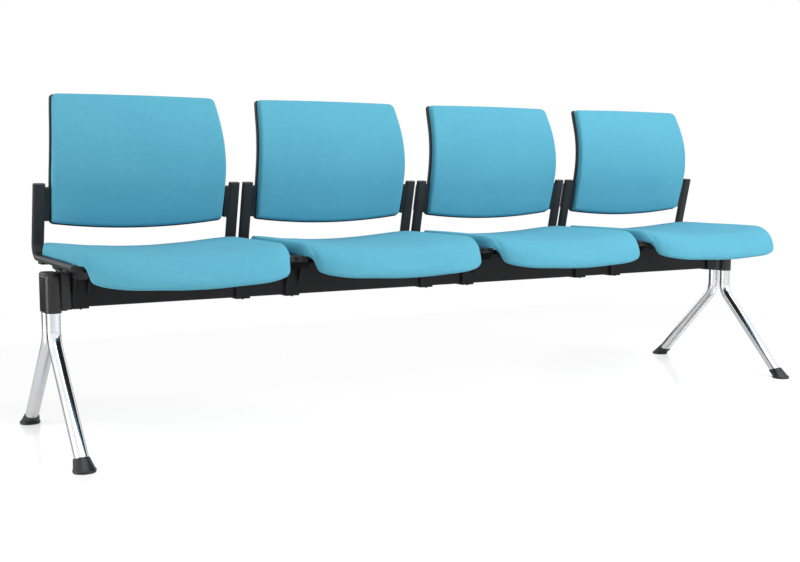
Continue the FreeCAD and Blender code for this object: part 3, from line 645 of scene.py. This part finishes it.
def finish_cushion(piece):
    """One subdivision, applied, and smooth shading."""
    bpy.context.view_layer.objects.active = piece
    smooth = piece.modifiers.new("smooth", "SUBSURF")
    smooth.levels = 1
    smooth.render_levels = 1
    bpy.ops.object.modifier_apply(modifier="smooth")
    for face in piece.data.polygons:
        face.use_smooth = True
    piece.data.materials.append(fabric)


def place_cushion(shape, chair, name, node_name):
    """A cushion of one chair, a copy of the shape that was worked out in the middle of the row."""
    mesh = shape.data.copy()
    mesh.transform(Matrix.Translation((chair_x(chair), 0, 0)))
    mesh.name = name
    piece = bpy.data.objects.new(name, mesh)
    scene.collection.objects.link(piece)
    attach(piece, "root")
    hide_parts(node_name)


def seat_cushion_shape():
    """Seat cover with round rims, slightly slack so that the cloth run has something to fill."""
    outer, inner, flat, rim = seat_grids()
    distance = rim_distance(flat)
    thickness = outer - inner
    half = np.linalg.norm(thickness, axis=2) / 2
    radius = np.minimum(half, SEAT_RIM_RADIUS)
    edge = inner + thickness * rim[:, :, None]
    upper = edge + (outer - edge) * rounding(distance, radius)[:, :, None]
    lower = edge + (inner - edge) * rounding(distance, 2 * radius * rim)[:, :, None]
    slack = SEAT_SLACK * np.clip(distance / SLACK_REACH, 0, 1) / np.maximum(2 * half, 1e-6)
    upper = upper - thickness * slack[:, :, None]
    return pillow("seat_shape", upper, lower, flat, np.clip(1 - distance / SEAT_PINNED, 0, 1))


def back_cushion_shape():
    """Back cover with round rims and a slack front, bent round the belly."""
    x, z = back_grids()
    flat = np.stack([x, z * BACK_STRETCH], axis=2)
    distance = rim_distance(flat)
    share = rounding(distance, BACK_RIM_RADIUS)
    middle = (BACK_PROUD - BACK_SUNK) / 2
    half = (BACK_PROUD + BACK_SUNK) / 2
    slack = BACK_SLACK * np.clip(distance / SLACK_REACH, 0, 1)
    front = np.stack([x, back_y(z, middle + half * share - slack), z], axis=2)
    rear = np.stack([x, back_y(z, middle - half * share), z], axis=2)
    return pillow("back_shape", front, rear, flat, np.clip(1 - distance / BACK_PINNED, 0, 1))


def back_y(z, offset):
    """Y of points at heights and offsets given as grids."""
    radius = BELLY_RADIUS + offset
    centre = BELLY_Y + BELLY_RADIUS
    rise = z - BELLY_Z
    low, high = -radius * math.sin(LOWER_LEAN), radius * math.sin(UPPER_LEAN)
    held = np.minimum(np.maximum(rise, low), high)
    y = centre - np.sqrt(radius ** 2 - held ** 2)
    y = y + np.maximum(low - rise, 0) * math.tan(LOWER_LEAN)
    return y + np.maximum(rise - high, 0) * math.tan(UPPER_LEAN)


seat_shape = seat_cushion_shape()
back_shape = back_cushion_shape()
inflate(seat_shape, SEAT_PRESSURE, SEAT_REACH)
inflate(back_shape, BACK_PRESSURE, BACK_REACH)
for shape in (seat_shape, back_shape):
    finish_cushion(shape)
for chair in CHAIRS:
    place_cushion(seat_shape, chair, "seat_upholstery_%d" % chair, "seat_cushion_%d" % chair)
    place_cushion(back_shape, chair, "back_upholstery_%d" % chair, "back_cushion_%d" % chair)
for shape in (seat_shape, back_shape):
    bpy.data.objects.remove(shape)


# Small fasteners

def socket_head(work, centre, axis, radius, height):
    """Button head with a round shoulder and a hexagon socket, standing on a face at centre."""
    turn = Vector((0, 0, 1)).rotation_difference(axis).to_matrix()
    shoulder = [(1.0, 0.0), (1.0, 0.25), (0.93, 0.6), (0.78, 0.88), (0.6, 1.0)]
    socket = [(0.5, 1.0), (0.5, 0.35)]
    rings = [ring(work, centre, turn, reach * radius, rise * height, 1.0) for reach, rise in shoulder]
    rings += [ring(work, centre, turn, reach * radius, rise * height, 0.0) for reach, rise in socket]
    for inner, outer in zip(rings[1:], rings):
        for step in range(HEAD_POINTS):
            after = (step + 1) % HEAD_POINTS
            face = work.faces.new((outer[step], outer[after], inner[after], inner[step]))
            face.smooth = outer is rings[1] or outer is rings[2] or outer is rings[3]
    work.faces.new(rings[-1])
    work.faces.new(tuple(reversed(rings[0])))


def ring(work, centre, turn, reach, rise, roundness):
    """Closed ring of points: a circle for roundness 1, a hexagon for roundness 0."""
    made = []
    for step in range(HEAD_POINTS):
        angle = math.tau * step / HEAD_POINTS
        across = math.cos(math.pi / 6) / math.cos((angle + math.pi / 6) % (math.pi / 3) - math.pi / 6)
        radius = reach * (roundness + (1 - roundness) * across)
        local = Vector((radius * math.cos(angle), radius * math.sin(angle), rise))
        made.append(work.verts.new(centre + turn @ local))
    return made


def socket_heads(name, places, axis, radius, height):
    """One piece that holds a button-head screw at each place."""
    work = bmesh.new()
    for place in places:
        socket_head(work, Vector(place) * MILLIMETRE, axis, radius * MILLIMETRE, height * MILLIMETRE)
    bmesh.ops.recalc_face_normals(work, faces=work.faces)
    mesh = bpy.data.meshes.new(name)
    work.to_mesh(mesh)
    work.free()
    mesh.materials.append(steel)
    piece = bpy.data.objects.new(name, mesh)
    scene.collection.objects.link(piece)
    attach(piece, "root")
    return piece


def chair_sides(offset):
    """X of the two sides of every chair, at an offset from its middle."""
    return [chair_x(chair) / MILLIMETRE + side * offset for chair in CHAIRS for side in (-1, 1)]


def back_screw_heads():
    """Heads of the screws through the ears behind the uprights."""
    lean = Vector((0, -math.sin(UPRIGHT_LEAN), math.cos(UPRIGHT_LEAN)))
    rearward = Vector((0, math.cos(UPRIGHT_LEAN), math.sin(UPRIGHT_LEAN)))
    top = Vector((0, UPRIGHT_TOP_Y, UPRIGHT_TOP_Z))
    middle = top - lean * LUG_MIDDLE_DROP + rearward * EAR_REAR
    places = [middle + lean * step + Vector((x, 0, 0)) for x in chair_sides(FRAME_OFFSET)
              for step in (-BACK_SCREW_STEP, BACK_SCREW_STEP)]
    piece = socket_heads("back_screw_heads", places, rearward, BACK_SCREW_HEAD, BACK_SCREW_HEIGHT)
    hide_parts("back_screws")


def strap_screw_heads():
    """Heads under the straps that close the brackets round the beam."""
    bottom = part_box("bracket_straps")[0].z / MILLIMETRE
    places = [(x, y, bottom) for x in chair_sides(BRACKET_OFFSET) for y in (-STRAP_SCREW_Y, STRAP_SCREW_Y)]
    socket_heads("strap_screw_heads", places, Vector((0, 0, -1)), STRAP_SCREW_HEAD, STRAP_SCREW_HEIGHT)


def clamp_screw_heads():
    """Heads on the outer sides of the brackets, one to each."""
    for side, word in ((-1, "left"), (1, "right")):
        places = [(chair_x(chair) / MILLIMETRE + side * CLAMP_HEAD_OFFSET, CLAMP_HEAD_Y, CLAMP_HEAD_Z)
                  for chair in CHAIRS]
        socket_heads("clamp_screw_heads_" + word, places, Vector((side, 0, 0)), CLAMP_HEAD, CLAMP_HEAD_HEIGHT)


back_screw_heads()
strap_screw_heads()
clamp_screw_heads()


# Feet

def foot_rings():
    """Rings of a front foot from the floor side up, over the mouth and down to the end of the tube."""
    lean = math.atan2(LEG_RUN, LEG_RISE)
    angle = math.tau * np.arange(FOOT_POINTS)[:, None] / FOOT_POINTS

    def ring_at(radius, height, along, tilt):
        """Section of a bar of this radius that leans by along, cut at a tilt, with its middle at a height."""
        middle = np.array([0.0, LEG_FOOT_Y + height * math.tan(along), height])
        reach = radius / math.cos(along - tilt)
        across = np.array([0.0, math.cos(tilt), -math.sin(tilt)])
        return middle + radius * np.cos(angle) * np.array([1.0, 0.0, 0.0]) + reach * np.sin(angle) * across

    flange = [ring_at(FOOT_RADIUS - inset, FOOT_PAD + rise, 0.0, 0.0) for inset, rise in FLANGE]
    low = flange.pop()
    high = ring_at(MOUTH_RADIUS, MOUTH_Z, lean, MOUTH_TILT)
    waist = (low + high) / 2
    waist[:, 2] -= FLARE_HOLLOW
    flare = [(1 - t) ** 2 * low + 2 * t * (1 - t) * waist + t ** 2 * high
             for t in np.linspace(0, 1, FLARE_STEPS)]
    mouth = [ring_at(MOUTH_RADIUS - inset, MOUTH_Z + rise, lean, MOUTH_TILT) for inset, rise in MOUTH_LIP]
    mouth.append(ring_at(LEG_RADIUS + BORE_GAP, MOUTH_Z + MOUTH_LIP[-1][1], lean, MOUTH_TILT))
    mouth.append(ring_at(LEG_RADIUS + BORE_GAP, LEG_END_Z - BORE_END_GAP, lean, lean))
    return flange + flare + mouth


def make_foot(word, side, place, turn):
    """A push-on foot at one end of the row, turned about the leg pair's middle."""
    work = bmesh.new()
    rings = [[work.verts.new(Vector(point) * MILLIMETRE) for point in points] for points in foot_rings()]
    for low, high in zip(rings, rings[1:]):
        for step in range(FOOT_POINTS):
            after = (step + 1) % FOOT_POINTS
            face = work.faces.new((low[step], low[after], high[after], high[step]))
            face.smooth = True
    work.faces.new(rings[-1])
    work.faces.new(tuple(reversed(rings[0])))
    bmesh.ops.recalc_face_normals(work, faces=work.faces)
    mesh = bpy.data.meshes.new("glide")
    work.to_mesh(mesh)
    work.free()
    mesh.transform(Matrix.Translation((side * LEG_X * MILLIMETRE, 0, 0)) @ Matrix.Rotation(turn, 4, "Z"))
    mesh.materials.append(finishes["foot_black"])
    piece = bpy.data.objects.new("glide_%s_%s" % (place, word), mesh)
    scene.collection.objects.link(piece)
    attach(piece, "root")
    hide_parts("foot_%s_%s" % (place, word))


for side, word in ((-1, "left"), (1, "right")):
    make_foot(word, side, "front", 0.0)
    make_foot(word, side, "rear", math.pi)


# Studio

def seen_directly(tree, mirrored):
    """1 for the camera and for glass, mirrored for what metal shows, 0 for the light that falls on things."""
    path = node(tree, "LightPath")
    seen = maths(tree, "MAXIMUM", path.outputs["Is Camera Ray"], path.outputs["Is Transmission Ray"])
    return maths(tree, "MAXIMUM", seen, maths(tree, "MULTIPLY", path.outputs["Is Glossy Ray"], mirrored))


def make_floor():
    """Pale floor, white away from the row, with the shadow and a faint reflection near the feet."""
    mesh = bpy.data.meshes.new("floor")
    corners = [(FLOOR_HALF * x, FLOOR_HALF * y, 0) for x, y in ((-1, -1), (1, -1), (1, 1), (-1, 1))]
    mesh.from_pydata(corners, [], [(0, 1, 2, 3)])
    floor = bpy.data.objects.new("floor", mesh)
    scene.collection.objects.link(floor)
    material, tree, shader = new_material("pale_floor", {"Roughness": 0.6, "Specular IOR Level": 0.2,
                                                         "Base Color": colour(0.72, 0.72, 0.72)})
    seen = seen_directly(tree, FLOOR_SEEN_IN_METAL)
    place = node(tree, "NewGeometry").outputs["Position"]
    parts = node(tree, "SeparateXYZ", {0: place})
    aside = maths(tree, "SUBTRACT", maths(tree, "ABSOLUTE", parts.outputs[0]), LEG_X * MILLIMETRE)
    ahead = maths(tree, "SUBTRACT", parts.outputs[1], FOOT_ZONE_Y)
    from_legs = maths(tree, "SQRT", maths(tree, "ADD", maths(tree, "POWER", aside, 2.0),
                                          maths(tree, "POWER", ahead, 2.0)))
    beyond = node(tree, "MapRange", {"Value": from_legs, "From Min": FOOT_ZONE[0], "From Max": FOOT_ZONE[1],
                                     "To Max": FOOT_ZONE_WHITE}, interpolation_type="SMOOTHSTEP")
    reach = node(tree, "VectorMath", {0: place}, operation="LENGTH").outputs["Value"]
    outside = node(tree, "MapRange", {"Value": reach, "From Min": ROW_ZONE[0], "From Max": ROW_ZONE[1]},
                   interpolation_type="SMOOTHSTEP")
    far = maths(tree, "MAXIMUM", beyond.outputs[0], outside.outputs[0])
    shine = maths(tree, "MULTIPLY", seen, FLOOR_GLOW)
    glow = node(tree, "Emission", {"Color": colour(1, 1, 1), "Strength": shine})
    lit = node(tree, "AddShader", {0: shader.outputs[0], 1: glow.outputs[0]})
    mirror = node(tree, "BsdfGlossy", {"Color": colour(1, 1, 1), "Roughness": FLOOR_MIRROR_ROUGHNESS})
    near = node(tree, "MixShader", {0: FLOOR_MIRROR, 1: lit.outputs[0], 2: mirror.outputs[0]})
    white = node(tree, "Emission", {"Color": colour(1, 1, 1), "Strength": 1.0})
    share = maths(tree, "MULTIPLY", seen, far)
    both = node(tree, "MixShader", {0: share, 1: near.outputs[0], 2: white.outputs[0]})
    tree.links.new(both.outputs[0], tree.nodes["Material Output"].inputs["Surface"])
    mesh.materials.append(material)


def make_flag():
    """Low black board behind the row, seen only in shiny things: it draws the edges of the legs."""
    mesh = bpy.data.meshes.new("flag")
    corners = [(BOARD_LEFT, BOARD_Y, 0), (BOARD_RIGHT, BOARD_Y, 0),
               (BOARD_RIGHT, BOARD_Y, BOARD_HEIGHT), (BOARD_LEFT, BOARD_Y, BOARD_HEIGHT)]
    mesh.from_pydata(corners, [], [(0, 1, 2, 3)])
    flag = bpy.data.objects.new("flag", mesh)
    scene.collection.objects.link(flag)
    settings = {"Base Color": colour(0.02, 0.02, 0.02), "Roughness": 0.9}
    mesh.materials.append(new_material("black_board", settings)[0])
    flag.visible_camera = False
    flag.visible_diffuse = False
    flag.visible_transmission = False
    flag.visible_shadow = False


def make_world():
    """White behind the object for whatever sees it directly, and a plain even light."""
    world = bpy.data.worlds.new("studio")
    scene.world = world
    world.use_nodes = True
    tree = world.node_tree
    tree.nodes.clear()
    seen = seen_directly(tree, 1.0)
    backdrop = node(tree, "Background", {"Color": colour(1, 1, 1), "Strength": 1.0})
    even = node(tree, "Background", {"Color": colour(1, 1, 1), "Strength": EVEN_LIGHT})
    both = node(tree, "MixShader", {0: seen, 1: even.outputs[0], 2: backdrop.outputs[0]})
    out = node(tree, "OutputWorld")
    tree.links.new(both.outputs[0], out.inputs["Surface"])


def make_lamp(name, place, target, size, power):
    """Rectangular lamp at a place, turned towards a target."""
    data = bpy.data.lights.new(name, "AREA")
    data.shape = "RECTANGLE"
    data.size, data.size_y = size
    data.energy = power
    lamp = bpy.data.objects.new(name, data)
    lamp.location = place
    lamp.rotation_euler = (Vector(target) - Vector(place)).to_track_quat("-Z", "Y").to_euler()
    scene.collection.objects.link(lamp)


def make_camera():
    data = bpy.data.cameras.new("camera")
    data.lens = CAMERA_LENS
    data.sensor_width = CAMERA_SENSOR
    camera = bpy.data.objects.new("camera", data)
    camera.location = CAMERA_PLACE
    camera.rotation_euler = (math.radians(90 - CAMERA_DOWN), 0, math.radians(-CAMERA_TURN))
    scene.collection.objects.link(camera)
    scene.camera = camera


make_camera()
make_floor()
make_flag()
make_world()
make_lamp("overhead", (0.3, -0.6, 3.2), (0.1, 0.0, 0.4), (4.0, 2.0), 44.0)
make_lamp("key", (1.7, -3.1, 2.4), (0.4, 0.0, 0.5), (2.0, 1.4), 90.0)
make_lamp("fill", (-4.2, 0.25, 1.05), (-0.6, 0.0, 1.05), (0.8, 2.0), 50.0)
scene.view_settings.view_transform = "Standard"
